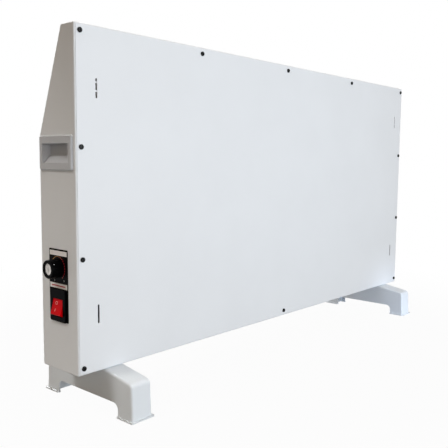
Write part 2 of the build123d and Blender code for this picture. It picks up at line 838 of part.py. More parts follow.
def make_switch_rocker():
    """Rocker in its off position: upper half pressed in, lower half standing out."""
    corner = math.atan2(rocker_half, rocker_rise)
    low = math.asin(-rocker_skirt / rocker_radius)
    foot_angle = math.pi / 2 - low
    bend = (corner + foot_angle) / 2
    points = [polar(rocker_radius, angle) for angle in (corner, bend, foot_angle)]
    other = [(x, -z) for x, z in points]
    face = make_face(
        Curve()
        + [
            ThreePointArc(points[0], points[1], points[2]),
            Line(points[2], other[2]),
            ThreePointArc(other[2], other[1], other[0]),
            ThreePointArc(other[0], (rocker_rise - rocker_dip, 0), points[0]),
        ]
    )
    rocker = extrude(Plane.XZ * face, rocker_width / 2, both=True)
    rocker = fillet(rocker.edges().filter_by(Axis.Y).sort_by(Axis.X)[-2:], rocker_edge)
    reach = rocker_width / 2 + rocker_gap + switch_wall
    rocker += rod_y(-reach, reach, 0, 0, pivot_diameter / 2)
    return Pos(pivot_x, switch_y, switch_z) * Rot(0, -rocker_tilt, 0) * rocker


def polar(radius, angle):
    """Point at an angle from the first axis."""
    return (radius * math.cos(angle), radius * math.sin(angle))


def make_switch_terminals():
    """Four blades on the back of the switch."""
    step_y = rocker_width / 4
    step_z = rocker_half / 2
    return [
        block(
            switch_back_x - blade_length,
            switch_back_x,
            switch_y + side * step_y - blade_thickness / 2,
            switch_y + side * step_y + blade_thickness / 2,
            switch_z + level * step_z - blade_width / 2,
            switch_z + level * step_z + blade_width / 2,
        )
        for side in (-1, 1)
        for level in (-1, 1)
    ]


def make_switch_lamp():
    """Lamp lying on the bottom of the rocker's well."""
    x = pivot_x - rocker_radius - rocker_gap + lamp_diameter / 2
    return rod_y(switch_y - lamp_length / 2, switch_y + lamp_length / 2, x, switch_z, lamp_diameter / 2)


def make_control_partition():
    """Wall between the air duct and the control chamber, with a lip on the casing's bottom."""
    rear = seat_y - partition_rear_gap
    outline = casing_outline(sheet, rear, corner_radius - sheet)
    wall = along_x(outline, partition_x, partition_x + partition_sheet)
    lip_x = partition_x - partition_lip
    lip_y0 = front_y + 3 * corner_radius
    lip_y1 = rear - corner_radius
    lip = block(lip_x, partition_x, lip_y0, lip_y1, floor_z, floor_z + partition_sheet)
    x1 = partition_x + partition_sheet + overcut
    hole = rod_x(partition_x - overcut, x1, grommet_y, underside_z + grommet_height, grommet_radius)
    return wall + lip - hole


def make_partition_grommet():
    """Rubber grommet that carries the leads through the partition."""
    z = underside_z + grommet_height
    x1 = partition_x + partition_sheet
    outer = grommet_radius + grommet_lip
    ring = rod_x(partition_x, x1, grommet_y, z, grommet_radius)
    ring += rod_x(partition_x - grommet_lip, partition_x, grommet_y, z, outer)
    ring += rod_x(x1, x1 + grommet_lip, grommet_y, z, outer)
    ends = grommet_lip + overcut
    return ring - rod_x(partition_x - ends, x1 + ends, grommet_y, z, grommet_bore)


def make_heat_shield():
    """Hat-shaped sheet between the element and the rear cover, hung on the rear flanges."""
    back = seat_y - sheet
    face = back - shield_depth
    t = shield_sheet
    low = underside_z + rear_flange
    high = top_z - rear_flange
    outline = [
        (back, low - shield_lip),
        (back, low),
        (face + t, low),
        (face + t, high),
        (back, high),
        (back, high + shield_lip),
        (back - t, high + shield_lip),
        (back - t, high + t),
        (face, high + t),
        (face, low - t),
        (back - t, low - t),
        (back - t, low - shield_lip),
    ]
    half = partition_x - shield_end_gap
    shield = along_x(make_face(Polyline(*outline, close=True)), -half, half)
    return shield - cover_screw_holes(screw_shank / 2 + screw_clearance)


def make_heating_element():
    """Extruded aluminium element: hub with four finned arms."""
    arm = Pos(arm_length / 2, 0) * Rectangle(arm_length, arm_thickness)
    for place in fin_places:
        arm += Pos(place, 0) * Rectangle(fin_thickness, fin_length)
    section = Circle(hub_radius)
    for angle in (arm_angle, 180 - arm_angle, -arm_angle, arm_angle - 180):
        section += Rot(0, 0, angle) * arm
    section -= Circle(pin_radius)
    bar = along_x(section, -element_end_x, element_end_x)
    return Pos(0, element_y, element_z) * bar


def make_element_pins():
    """Insulated ends of the element's heating wire, with their blades."""
    inner = element_end_x - pin_length / 2
    outer = element_end_x + pin_length
    pin = rod_x(inner, outer, element_y, element_z, pin_radius)
    pin += block(
        outer,
        outer + blade_length,
        element_y - blade_width / 2,
        element_y + blade_width / 2,
        element_z - blade_thickness / 2,
        element_z + blade_thickness / 2,
    )
    return [pin, other_end(pin)]


def make_element_bracket():
    """Bent bracket that carries one end of the element from the casing's bottom."""
    half = bracket_width / 2
    x1 = bracket_x + bracket_sheet
    plate = block(bracket_x, x1, element_y - half, element_y + half, floor_z, underside_z + bracket_top)
    plate = fillet(plate.edges().filter_by(Axis.X).sort_by(Axis.Z)[-2:], corner_radius)
    foot_x0 = bracket_x - bracket_foot
    plate += block(foot_x0, x1, element_y - half, element_y + half, floor_z, floor_z + bracket_sheet)
    return plate - rod_x(bracket_x - overcut, x1 + overcut, element_y, element_z, element_bush_radius)


def make_element_bush():
    """Bush that lets the element slide in its bracket as it warms."""
    x1 = bracket_x + bracket_sheet
    outer = element_bush_radius + element_bush_lip
    lip = (element_bush_length - bracket_sheet) / 2
    bush = rod_x(bracket_x - lip, x1 + lip, element_y, element_z, element_bush_radius)
    bush += rod_x(bracket_x - lip, bracket_x, element_y, element_z, outer)
    bush += rod_x(x1, x1 + lip, element_y, element_z, outer)
    ends = lip + overcut
    return bush - rod_x(bracket_x - ends, x1 + ends, element_y, element_z, pin_radius)


def make_overheat_cutout():
    """Bimetal safety switch on the partition's warm side."""
    z = underside_z + cutout_height
    half = cutout_ears / 2
    x0 = partition_x - blade_thickness
    can = rod_x(partition_x - cutout_depth, x0, cutout_y, z, cutout_radius)
    can += block(x0, partition_x, cutout_y - half, cutout_y + half, z - blade_width / 2, z + blade_width / 2)
    back = partition_x - cutout_depth
    blades = [
        block(
            back - blade_length,
            back,
            y - blade_thickness / 2,
            y + blade_thickness / 2,
            z - blade_width / 2,
            z + blade_width / 2,
        )
        for y in (cutout_y - cutout_radius / 2, cutout_y + cutout_radius / 2)
    ]
    return can + blades


def make_terminal_block():
    """Three-way terminal block on the partition."""
    x0 = partition_x + partition_sheet
    z = underside_z + block_z
    body = block(
        x0,
        x0 + block_depth,
        fittings_y - block_width / 2,
        fittings_y + block_width / 2,
        z - block_height / 2,
        z + block_height / 2,
    )
    pitch = block_width / 3
    for i in (-1, 0, 1):
        y = fittings_y + i * pitch
        body -= rod_x(x0 + block_depth / 2, x0 + block_depth + overcut, y, z, block_screw_radius)
        for end in (-1, 1):
            z0, z1 = sorted((z + end * (block_height / 2 - block_way_depth), z + end * block_height))
            body -= rod_z(z0, z1, x0 + block_depth / 2, y, wire_radius + wire_hole_clearance)
    return body


def make_cable_inlet_bush():
    """Bush where a mains lead enters the casing's bottom."""
    x, y = inlet_bush_x, inlet_bush_y
    outer = inlet_bush_radius + inlet_bush_lip
    bush = rod_z(underside_z, floor_z, x, y, inlet_bush_radius)
    bush += rod_z(underside_z - inlet_bush_lip, underside_z, x, y, outer)
    bush += rod_z(floor_z, floor_z + inlet_bush_lip, x, y, outer)
    return bush - rod_z(0, top_z, x, y, inlet_bush_bore)


def make_earth_stud():
    """Earth stud and its nut on the partition."""
    x0 = partition_x + partition_sheet
    z = underside_z + block_z
    stud = rod_x(x0, x0 + earth_length, earth_y, z, foot_screw_shank / 2)
    return stud + hexagon_x(x0, x0 + foot_nut_height, earth_y, z, foot_nut_width)


def wire(*route):
    """Insulated lead along a route, with rounded turns."""
    path = FilletPolyline(*route, radius=wire_bend)
    direction = Vector(*route[1]) - Vector(*route[0])
    return sweep(Plane(origin=route[0], z_dir=direction) * Circle(wire_radius), path=path)


def block_way(i):
    """Bottom of the hole on top of the terminal block's way i, counted from the middle."""
    x = partition_x + partition_sheet + block_depth / 2
    z = underside_z + block_z + block_height / 2 - block_way_depth
    return (x, fittings_y + i * block_width / 3, z)


def switch_blade(side, level):
    """Middle of a switch blade's upper or lower edge."""
    z = switch_z + level * (rocker_half / 2 + blade_width / 2)
    return (switch_back_x - blade_length / 2, switch_y + side * rocker_width / 4, z)


def lead_to_switch(way, side):
    """Lead from the terminal block up to a lower blade of the switch."""
    start = block_way(way)
    end = switch_blade(side, -1)
    low = start[2] + 2 * wire_bend
    high = end[2] - 2 * wire_bend
    return wire(start, (start[0], start[1], low), (end[0], end[1], high), end)


def make_wire_thermostat():
    """Slack lead from the switch to the thermostat."""
    start = switch_blade(1, 1)
    end_z = knob_z + thermostat_blade_rise
    x, y, z = start
    quarter = (end_z - z) / 4
    bow = (x - wire_bend / 2, y, z + 2 * quarter)
    return wire(start, (x, y, z + quarter), bow, (x, y, z + 3 * quarter), (x, y, end_z))


def cutout_blade(side):
    """Tip of a blade of the safety switch."""
    x = partition_x - cutout_depth - blade_length
    return (x, cutout_y + side * cutout_radius / 2, underside_z + cutout_height)


def make_wire_cutout():
    """Lead from the thermostat through the grommet to the safety switch."""
    x = switch_back_x - blade_length / 2
    start_y = fittings_y - blade_width
    start_z = knob_z + thermostat_blade_rise
    low_z = underside_z + grommet_height + wire_spacing / 2
    tip_x, tip_y, tip_z = cutout_blade(-1)
    riser_x = tip_x - wire_bend / 2
    return wire(
        (x, start_y, start_z),
        (x, start_y, start_z - 2 * wire_bend),
        (x, grommet_y, start_z - 4 * wire_bend),
        (x, grommet_y, low_z),
        (riser_x, grommet_y, low_z),
        (riser_x, grommet_y, tip_z),
        (tip_x - wire_lead, tip_y, tip_z),
        (tip_x, tip_y, tip_z),
    )


def pin_tip():
    """X of the outer end of an element pin's blade."""
    return element_end_x + pin_length + blade_length


def make_wire_element():
    """Lead from the element's near pin to the safety switch."""
    tip_x, tip_y, tip_z = cutout_blade(1)
    return wire(
        (pin_tip(), element_y, element_z),
        (pin_tip() + wire_lead, element_y, element_z),
        (tip_x - wire_lead, tip_y, tip_z),
        (tip_x, tip_y, tip_z),
    )


def make_wire_return():
    """Lead from the element's far pin along the front and through the grommet to the block."""
    x, _, _ = block_way(0)
    low_z = underside_z + grommet_height - wire_spacing / 2
    far_x = -pin_tip() - 2 * wire_bend
    return wire(
        (-pin_tip(), element_y, element_z),
        (far_x, element_y, element_z),
        (far_x, grommet_y, low_z),
        (x, grommet_y, low_z),
        (x, fittings_y - block_width / 2, low_z),
    )


def make_wire_earth():
    """Lead from the terminal block to the earth stud."""
    start = block_way(1)
    high = start[2] + 2 * wire_bend + wire_spacing
    stud_top = underside_z + block_z + foot_screw_shank / 2
    x = start[0]
    return wire(start, (x, start[1], high), (x, earth_y, high), (x, earth_y, stud_top))


nodes = {
    "casing_shell": make_casing_shell(),
    "end_plate_control": make_end_plate_control(),
    "end_plate_far": other_end(make_end_plate() - handle_hole()),
    "outlet_grille": make_outlet_grille(),
    "rear_cover": make_rear_cover(),
    "cover_screws": make_cover_screws(),
    "hanger_plate_control": make_hanger_plate(),
    "hanger_plate_far": other_end(make_hanger_plate()),
    "handle_cup_control": make_handle_cup(),
    "handle_cup_far": other_end(make_handle_cup()),
    "foot_control": make_foot(),
    "foot_far": other_end(make_foot()),
    "foot_screws": make_foot_screws(),
    "foot_nuts": make_foot_nuts(),
    "scale_plate": make_scale_plate(),
    "knob": make_knob(),
    "knob_disc": make_knob_disc(),
    "thermostat_spindle": make_thermostat_spindle(),
    "thermostat_body": make_thermostat_body(),
    "thermostat_nut": make_thermostat_nut(),
    "thermostat_capillary": make_thermostat_capillary(),
    "bulb_clip": make_bulb_clip(),
    "switch_bezel": make_switch_bezel(),
    "switch_body": make_switch_body(),
    "switch_rocker": make_switch_rocker(),
    "switch_terminals": make_switch_terminals(),
    "switch_lamp": make_switch_lamp(),
    "control_partition": make_control_partition(),
    "partition_grommet": make_partition_grommet(),
    "heat_shield": make_heat_shield(),
    "heating_element": make_heating_element(),
    "element_pins": make_element_pins(),
    "element_bracket_control": make_element_bracket(),
    "element_bracket_far": other_end(make_element_bracket()),
    "element_bush_control": make_element_bush(),
    "element_bush_far": other_end(make_element_bush()),
    "overheat_cutout": make_overheat_cutout(),
    "terminal_block": make_terminal_block(),
    "cable_inlet_bush": make_cable_inlet_bush(),
    "earth_stud": make_earth_stud(),
    "wire_live": lead_to_switch(-1, -1),
    "wire_neutral": lead_to_switch(0, 1),
    "wire_thermostat": make_wire_thermostat(),
    "wire_cutout": make_wire_cutout(),
    "wire_element": make_wire_element(),
    "wire_return": make_wire_return(),
    "wire_earth": make_wire_earth(),
}

os.makedirs("parts", exist_ok=True)
for name, piece in nodes.items():
    solids = piece if isinstance(piece, list) else [piece]
    whole = Compound(children=[solid for item in solids for solid in item.solids()])
    export_step(Pos(origin_shift, 0, 0) * whole, f"parts/{name}.step")
    print(name, len(whole.solids()), round(whole.volume))
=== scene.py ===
import json
import math

import bmesh
import bpy
from mathutils import Matrix, Vector


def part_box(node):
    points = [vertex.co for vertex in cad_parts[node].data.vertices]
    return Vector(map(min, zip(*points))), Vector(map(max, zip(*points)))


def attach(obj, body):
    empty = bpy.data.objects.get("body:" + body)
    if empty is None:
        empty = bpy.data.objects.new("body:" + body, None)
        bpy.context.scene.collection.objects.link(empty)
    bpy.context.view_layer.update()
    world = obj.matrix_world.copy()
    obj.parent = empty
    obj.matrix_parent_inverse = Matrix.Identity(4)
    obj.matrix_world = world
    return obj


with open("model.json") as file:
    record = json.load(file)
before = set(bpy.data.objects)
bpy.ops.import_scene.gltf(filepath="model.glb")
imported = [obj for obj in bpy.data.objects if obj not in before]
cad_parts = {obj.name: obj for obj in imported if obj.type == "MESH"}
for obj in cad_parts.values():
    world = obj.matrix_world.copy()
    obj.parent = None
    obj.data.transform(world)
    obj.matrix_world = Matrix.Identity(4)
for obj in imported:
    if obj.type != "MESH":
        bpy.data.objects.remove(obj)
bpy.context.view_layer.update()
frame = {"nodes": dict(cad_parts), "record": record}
nodes = frame["nodes"]
mm = 0.001
print("frame loaded")


def toLinear(hexText):
    values = [int(hexText[i : i + 2], 16) / 255 for i in (1, 3, 5)]
    return [v / 12.92 if v <= 0.04045 else ((v + 0.055) / 1.055) ** 2.4 for v in values] + [1.0]


# a small-letter key sets the node itself, any other key sets one of its inputs
def addNode(tree, kind, values=None, links=None):
    node = tree.nodes.new(kind)
    for key, value in (values or {}).items():
        if isinstance(key, str) and key[0].islower():
            setattr(node, key, value)
        else:
            node.inputs[key].default_value = value
    for key, source in (links or {}).items():
        tree.links.new(source, node.inputs[key])
    return node


def newMaterial(name, values):
    material = bpy.data.materials.new(name)
    material.use_nodes = True
    tree = material.node_tree
    tree.nodes.clear()
    output = addNode(tree, "ShaderNodeOutputMaterial")
    shader = addNode(tree, "ShaderNodeBsdfPrincipled", values)
    tree.links.new(shader.outputs[0], output.inputs["Surface"])
    place = addNode(tree, "ShaderNodeTexCoord").outputs["Object"]
    return material, tree, shader, place


def dress(material, names):
    for name in names.split():
        data = nodes[name].data
        data.materials.clear()
        data.materials.append(material)


def finishPiece(name, form, material, body):
    bmesh.ops.recalc_face_normals(form, faces=form.faces[:])
    mesh = bpy.data.meshes.new(name)
    form.to_mesh(mesh)
    form.free()
    mesh.materials.append(material)
    piece = bpy.data.objects.new(name, mesh)
    bpy.context.scene.collection.objects.link(piece)
    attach(piece, body)


# the camera stands where the photograph was taken from
cameraSettings = {
    "place": (1.0092, 0.7735, 0.3781),
    "azimuth": 48.74,  # of the view, from -X towards -Y
    "dip": 5.78,
    "roll": 0.55,
    "lens": 50.02,  # mm, on the film width below
    "film": 36.0,
    "clip": (0.05, 60.0),
}


def makeCamera(s):
    a, e, r = (math.radians(s[key]) for key in ("azimuth", "dip", "roll"))
    forward = Vector((-math.sin(a) * math.cos(e), -math.cos(a) * math.cos(e), -math.sin(e)))
    right = Vector((-math.cos(a), math.sin(a), 0))
    up = right.cross(forward)
    across = right * math.cos(r) + up * math.sin(r)
    over = up * math.cos(r) - right * math.sin(r)
    data = bpy.data.cameras.new("photoCamera")
    data.lens = s["lens"]
    data.sensor_width = s["film"]
    data.clip_start, data.clip_end = s["clip"]
    camera = bpy.data.objects.new("photoCamera", data)
    turn = Matrix((across, over, -forward)).transposed().to_4x4()
    camera.matrix_world = Matrix.Translation(s["place"]) @ turn
    bpy.context.scene.collection.objects.link(camera)
    bpy.context.scene.camera = camera


makeCamera(cameraSettings)
bpy.context.scene.view_settings.view_transform = "Standard"
print("camera placed")


# white paper floor that keeps a faint shadow near the heater, white behind, soft lamps
stageSettings = {
    "floorSize": 16.0,
    "floorDrop": 0.4,  # mm under the feet, so that their soles don't lie in the floor
    "paper": "#8f8e8c",
    "nearGlow": 0.965,  # share of plain white that the camera sees in the floor by the heater
    "fadeFrom": 0.30,  # distance from the middle where the floor starts to turn plain white
    "fadeTo": 1.2,
    "ambientColour": "#ffd6a2",
    "ambient": 0.22,
    "wideBeam": 90,  # degrees; a narrower beam is kept out of reflections, where it would glint
    "lamps": [
        # name, place, aim, size, spread in degrees, power, colour
        ("windowSide", (-0.12, 1.80, 0.32), (0.00, 0.05, 0.28), 1.30, 180, 32.2, "#edf6ff"),
        ("windowEdge", (0.95, 1.60, 0.45), (0.50, 0.0, 0.35), 0.50, 180, 4.8, "#f6f4f2"),
        ("roomSide", (-0.50, -2.00, 1.30), (0.0, -0.05, 0.30), 1.60, 180, 28.0, "#f8fcff"),
        ("overhead", (0.0, -0.10, 2.40), (0.0, 0.0, 0.0), 1.60, 180, 15.0, "#ffffff"),
        ("lowSide", (1.15, -0.30, 1.10), (0.49, 0.0, 0.075), 0.50, 22, 0.330, "#fffdfa"),
        ("farFoot", (0.40, 1.35, 0.10), (-0.455, 0.07, 0.0), 0.10, 10, 0.042, "#c9ddfb"),
    ],
}


# 1 for rays that the eye follows: straight from the camera, mirrored or through glass
def seenByEye(tree):
    ray = addNode(tree, "ShaderNodeLightPath").outputs
    first = addNode(
        tree, "ShaderNodeMath", {"operation": "MAXIMUM"}, {0: ray["Is Camera Ray"], 1: ray["Is Glossy Ray"]}
    )
    both = addNode(
        tree,
        "ShaderNodeMath",
        {"operation": "MAXIMUM"},
        {0: first.outputs[0], 1: ray["Is Transmission Ray"]},
    )
    return both.outputs[0]


def makeStage(s):
    mesh = bpy.data.meshes.new("floor")
    form = bmesh.new()
    bmesh.ops.create_grid(form, x_segments=1, y_segments=1, size=s["floorSize"] / 2)
    form.to_mesh(mesh)
    form.free()
    floor = bpy.data.objects.new("floor", mesh)
    floor.location.z = -s["floorDrop"] * mm
    bpy.context.scene.collection.objects.link(floor)
    material = bpy.data.materials.new("paperFloor")
    material.use_nodes = True
    tree = material.node_tree
    tree.nodes.clear()
    seen = seenByEye(tree)
    place = addNode(tree, "ShaderNodeTexCoord").outputs["Object"]
    away = addNode(tree, "ShaderNodeVectorMath", {"operation": "LENGTH"}, {0: place}).outputs["Value"]
    glow = addNode(
        tree,
        "ShaderNodeMapRange",
        {
            "interpolation_type": "SMOOTHSTEP",
            "From Min": s["fadeFrom"],
            "From Max": s["fadeTo"],
            "To Min": s["nearGlow"],
            "To Max": 1.0,
        },
        {"Value": away},
    )
    share = addNode(
        tree, "ShaderNodeMath", {"operation": "MULTIPLY"}, {0: seen, 1: glow.outputs["Result"]}
    )
    paper = addNode(tree, "ShaderNodeBsdfDiffuse", {"Color": toLinear(s["paper"])})
    white = addNode(tree, "ShaderNodeEmission", {"Color": (1, 1, 1, 1), "Strength": 1.0})
    mixed = addNode(
        tree, "ShaderNodeMixShader", links={0: share.outputs[0], 1: paper.outputs[0], 2: white.outputs[0]}
    )
    addNode(tree, "ShaderNodeOutputMaterial", links={"Surface": mixed.outputs[0]})
    mesh.materials.append(material)

    world = bpy.data.worlds.new("studio")
    bpy.context.scene.world = world
    world.use_nodes = True
    tree = world.node_tree
    tree.nodes.clear()
    seen = seenByEye(tree)
    soft = addNode(
        tree,
        "ShaderNodeBackground",
        {"Color": toLinear(s["ambientColour"]), "Strength": s["ambient"]},
    )
    plain = addNode(tree, "ShaderNodeBackground", {"Color": (1, 1, 1, 1), "Strength": 1.0})
    mixed = addNode(
        tree, "ShaderNodeMixShader", links={0: seen, 1: soft.outputs[0], 2: plain.outputs[0]}
    )
    addNode(tree, "ShaderNodeOutputWorld", links={"Surface": mixed.outputs[0]})

    for name, place, aim, size, spread, power, colour in s["lamps"]:
        lamp = bpy.data.lights.new(name, "AREA")
        lamp.shape = "SQUARE"
        lamp.size = size
        lamp.spread = math.radians(spread)
        lamp.energy = power
        lamp.color = toLinear(colour)[:3]
        holder = bpy.data.objects.new(name, lamp)
        holder.location = place
        holder.visible_camera = False
        holder.visible_glossy = spread > s["wideBeam"]
        holder.rotation_euler = (Vector(aim) - Vector(place)).to_track_quat("-Z", "Y").to_euler()
        bpy.context.scene.collection.objects.link(holder)


makeStage(stageSettings)
print("stage set")


# satin powder coat on folded sheet: white with a breath of blue, a faint orange peel
powderSettings = {
    "colour": "#e4e8ec",
    "roughness": 0.46,
    "cloud": 110.0,  # mm, slow unevenness of the coat
    "cloudSpan": (0.3, 0.7),  # of the noise
    "cloudShade": (0.985, 1.01),  # of the colour
    "peel": 2.2,  # mm; the real one is nearer 1 mm, drawn coarser so that it shows
    "peelHeight": 0.4,  # mm
    "peelStrength": 0.05,
}


def powderCoatedSteel(s):
    material, tree, shader, place = newMaterial(
        "powderCoatedSteel", {"Roughness": s["roughness"], "IOR": 1.5}
    )
    cloud = addNode(
        tree, "ShaderNodeTexNoise", {"Scale": 1 / (s["cloud"] * mm), "Detail": 3.0}, {"Vector": place}
    )
    shade = addNode(
        tree,
        "ShaderNodeMapRange",
        {
            "From Min": s["cloudSpan"][0],
            "From Max": s["cloudSpan"][1],
            "To Min": s["cloudShade"][0],
            "To Max": s["cloudShade"][1],
        },
        {"Value": cloud.outputs["Fac"]},
    )
    colour = addNode(
        tree,
        "ShaderNodeVectorMath",
        {"operation": "SCALE", 0: toLinear(s["colour"])[:3]},
        {"Scale": shade.outputs["Result"]},
    )
    tree.links.new(colour.outputs[0], shader.inputs["Base Color"])
    peel = addNode(
        tree, "ShaderNodeTexNoise", {"Scale": 1 / (s["peel"] * mm), "Detail": 2.0}, {"Vector": place}
    )
    bump = addNode(
        tree,
        "ShaderNodeBump",
        {"Strength": s["peelStrength"], "Distance": s["peelHeight"] * mm},
        {"Height": peel.outputs["Fac"]},
    )
    tree.links.new(bump.outputs[0], shader.inputs["Normal"])
    return material


powderCoat = powderCoatedSteel(powderSettings)
dress(powderCoat, "casing_shell end_plate_control end_plate_far rear_cover outlet_grille")
dress(powderCoat, "hanger_plate_control hanger_plate_far")


# injection-moulded polypropylene from a spark-eroded mould: dull, fine leathery grain, slight sink marks
polypropyleneSettings = {
    "feet": "#dde3e8",
    "handles": "#c5c9cf",  # greyer than the feet in the photograph
    "roughness": 0.5,
    "unevenness": 0.08,  # of the roughness, either way
    "grain": 1.3,  # mm; the real grain is about 0.3 mm, drawn coarser so that it shows
    "grainHeight": 0.2,  # mm
    "grainStrength": 0.12,
    "sink": 30.0,  # mm, slow waves where the wall is thick
}


def mouldedPolypropylene(name, part, s):
    material, tree, shader, place = newMaterial(name, {"IOR": 1.49})
    shader.inputs["Base Color"].default_value = toLinear(s[part])
    grain = addNode(
        tree, "ShaderNodeTexNoise", {"Scale": 1 / (s["grain"] * mm), "Detail": 1.0}, {"Vector": place}
    )
    sink = addNode(tree, "ShaderNodeTexNoise", {"Scale": 1 / (s["sink"] * mm)}, {"Vector": place})
    dull = addNode(
        tree,
        "ShaderNodeMapRange",
        {"To Min": s["roughness"] - s["unevenness"], "To Max": s["roughness"] + s["unevenness"]},
        {"Value": sink.outputs["Fac"]},
    )
    tree.links.new(dull.outputs["Result"], shader.inputs["Roughness"])
    bump = addNode(
        tree,
        "ShaderNodeBump",
        {"Strength": s["grainStrength"], "Distance": s["grainHeight"] * mm},
        {"Height": grain.outputs["Fac"]},
    )
    tree.links.new(bump.outputs[0], shader.inputs["Normal"])
    return material


whitePlastic = mouldedPolypropylene("whitePolypropylene", "feet", polypropyleneSettings)
greyPlastic = mouldedPolypropylene("greyPolypropylene", "handles", polypropyleneSettings)
dress(whitePlastic, "foot_control foot_far")
dress(greyPlastic, "handle_cup_control handle_cup_far")


# black finishes: oxide on the screws, glossy ABS, printed film, dull phenolic and rubber
blackSettings = {
    # name: colour, metallic, specular level, roughness, spread of roughness, grain in mm, bump strength
    "blackOxideSteel": ("#0c0c0d", 0.4, 0.3, 0.26, 0.10, 0.8, 0.10),
    "glossyBlackAbs": ("#050506", 0.0, 0.02, 0.22, 0.05, 2.0, 0.02),
    "printedBlackFilm": ("#060607", 0.0, 0.02, 0.36, 0.06, 1.2, 0.06),
    "phenolicMoulding": ("#16130f", 0.0, 0.3, 0.48, 0.10, 1.5, 0.08),
    "mouldedRubber": ("#141414", 0.0, 0.3, 0.74, 0.08, 0.9, 0.15),
}
blackGrainHeight = 0.2  # mm


def blackFinish(name, settings):
    colour, metallic, specular, roughness, spread, grain, strength = settings
    values = {"Metallic": metallic, "Specular IOR Level": specular}
    material, tree, shader, place = newMaterial(name, values)
    speckle = addNode(
        tree, "ShaderNodeTexNoise", {"Scale": 1 / (grain * mm), "Detail": 2.0}, {"Vector": place}
    )
    dull = addNode(
        tree,
        "ShaderNodeMapRange",
        {"To Min": roughness - spread, "To Max": roughness + spread},
        {"Value": speckle.outputs["Fac"]},
    )
    shader.inputs["Base Color"].default_value = toLinear(colour)
    tree.links.new(dull.outputs["Result"], shader.inputs["Roughness"])
    bump = addNode(
        tree,
        "ShaderNodeBump",
        {"Strength": strength, "Distance": blackGrainHeight * mm},
        {"Height": speckle.outputs["Fac"]},
    )
    tree.links.new(bump.outputs[0], shader.inputs["Normal"])
    return material


black = {name: blackFinish(name, settings) for name, settings in blackSettings.items()}
dress(black["blackOxideSteel"], "cover_screws")
dress(black["glossyBlackAbs"], "knob switch_bezel")
dress(black["printedBlackFilm"], "scale_plate")
dress(black["phenolicMoulding"], "switch_body thermostat_body")
dress(black["mouldedRubber"], "partition_grommet cable_inlet_bush element_bush_control element_bush_far")


# bare and plated metals: a bright colour, broken up by what the making leaves on the surface
metalSettings = {
    # name: colour, darker colour, roughness, mark in mm along X, Y and Z, bump strength
    "zincPlatedSteel": ("#c6c7c0", "#a3a59d", 0.30, (1.5, 1.5, 1.5), 0.05),  # blotchy, faintly yellow
    "extrudedAluminium": ("#8e8c88", "#6e6c69", 0.42, (60.0, 0.8, 0.8), 0.15),  # die lines along the bar
    "drawnCopper": ("#bf7a55", "#7e4f38", 0.30, (3.0, 3.0, 6.0), 0.04),  # patches of brown tarnish
    "tinnedBrass": ("#d0c48f", "#a99a60", 0.28, (1.0, 1.0, 1.0), 0.04),  # pale, slightly streaked
}
metalMarkHeight = 0.1  # mm


def bareMetal(name, settings):
    bright, dark, roughness, marks, strength = settings
    material, tree, shader, place = newMaterial(name, {"Metallic": 1.0, "Roughness": roughness})
    stretch = addNode(
        tree,
        "ShaderNodeMapping",
        {"Scale": [1 / (mark * mm) for mark in marks]},
        {"Vector": place},
    )
    marked = addNode(
        tree, "ShaderNodeTexNoise", {"Scale": 1.0, "Detail": 3.0}, {"Vector": stretch.outputs[0]}
    )
    colour = addNode(
        tree,
        "ShaderNodeMix",
        {"data_type": "RGBA", 6: toLinear(dark), 7: toLinear(bright)},
        {0: marked.outputs["Fac"]},
    )
    tree.links.new(colour.outputs[2], shader.inputs["Base Color"])
    bump = addNode(
        tree,
        "ShaderNodeBump",
        {"Strength": strength, "Distance": metalMarkHeight * mm},
        {"Height": marked.outputs["Fac"]},
    )
    tree.links.new(bump.outputs[0], shader.inputs["Normal"])
    return material


metal = {name: bareMetal(name, settings) for name, settings in metalSettings.items()}
dress(metal["zincPlatedSteel"], "foot_screws foot_nuts thermostat_nut thermostat_spindle")
dress(metal["zincPlatedSteel"], "earth_stud bulb_clip")
dress(metal["extrudedAluminium"], "heating_element")
dress(metal["drawnCopper"], "thermostat_capillary")
dress(metal["tinnedBrass"], "switch_terminals element_pins")


# hot-dip galvanised sheet: grey spangle, each crystal a little lighter or darker
galvanisedSettings = {
    "light": "#bfc2c3",
    "dark": "#999c9e",
    "roughness": 0.38,
    "spangle": 7.0,  # mm
}


def galvanisedSheet(s):
    material, tree, shader, place = newMaterial(
        "galvanisedSheet", {"Metallic": 1.0, "Roughness": s["roughness"]}
    )
    crystals = addNode(tree, "ShaderNodeTexVoronoi", {"Scale": 1 / (s["spangle"] * mm)}, {"Vector": place})
    colour = addNode(
        tree,
        "ShaderNodeMix",
        {"data_type": "RGBA", 6: toLinear(s["dark"]), 7: toLinear(s["light"])},
        {0: crystals.outputs["Color"]},
    )
    tree.links.new(colour.outputs[2], shader.inputs["Base Color"])
    return material


dress(
    galvanisedSheet(galvanisedSettings),
    "control_partition heat_shield element_bracket_control element_bracket_far",
)


# turned aluminium disc: fine rings round the dial's axis that spread the highlight, and painted grey
# reflections
discSettings = {
    "colour": "#cbc5bf",
    "roughness": 0.34,
    "stretch": 0.4,  # of the highlight, along the rings
    "ring": 0.9,  # mm; real rings are about 0.1 mm, drawn coarser so that they show
    "ringHeight": 0.1,  # mm
    "ringStrength": 0.12,
    "smear": 7.0,  # mm, size of the painted reflections: grey patches that stand in for dark surroundings mirrored in the disc
    "reflectionSpan": (0.35, 0.6),  # of the noise
    "reflectionShade": 0.4,  # of the colour, where they are darkest
}


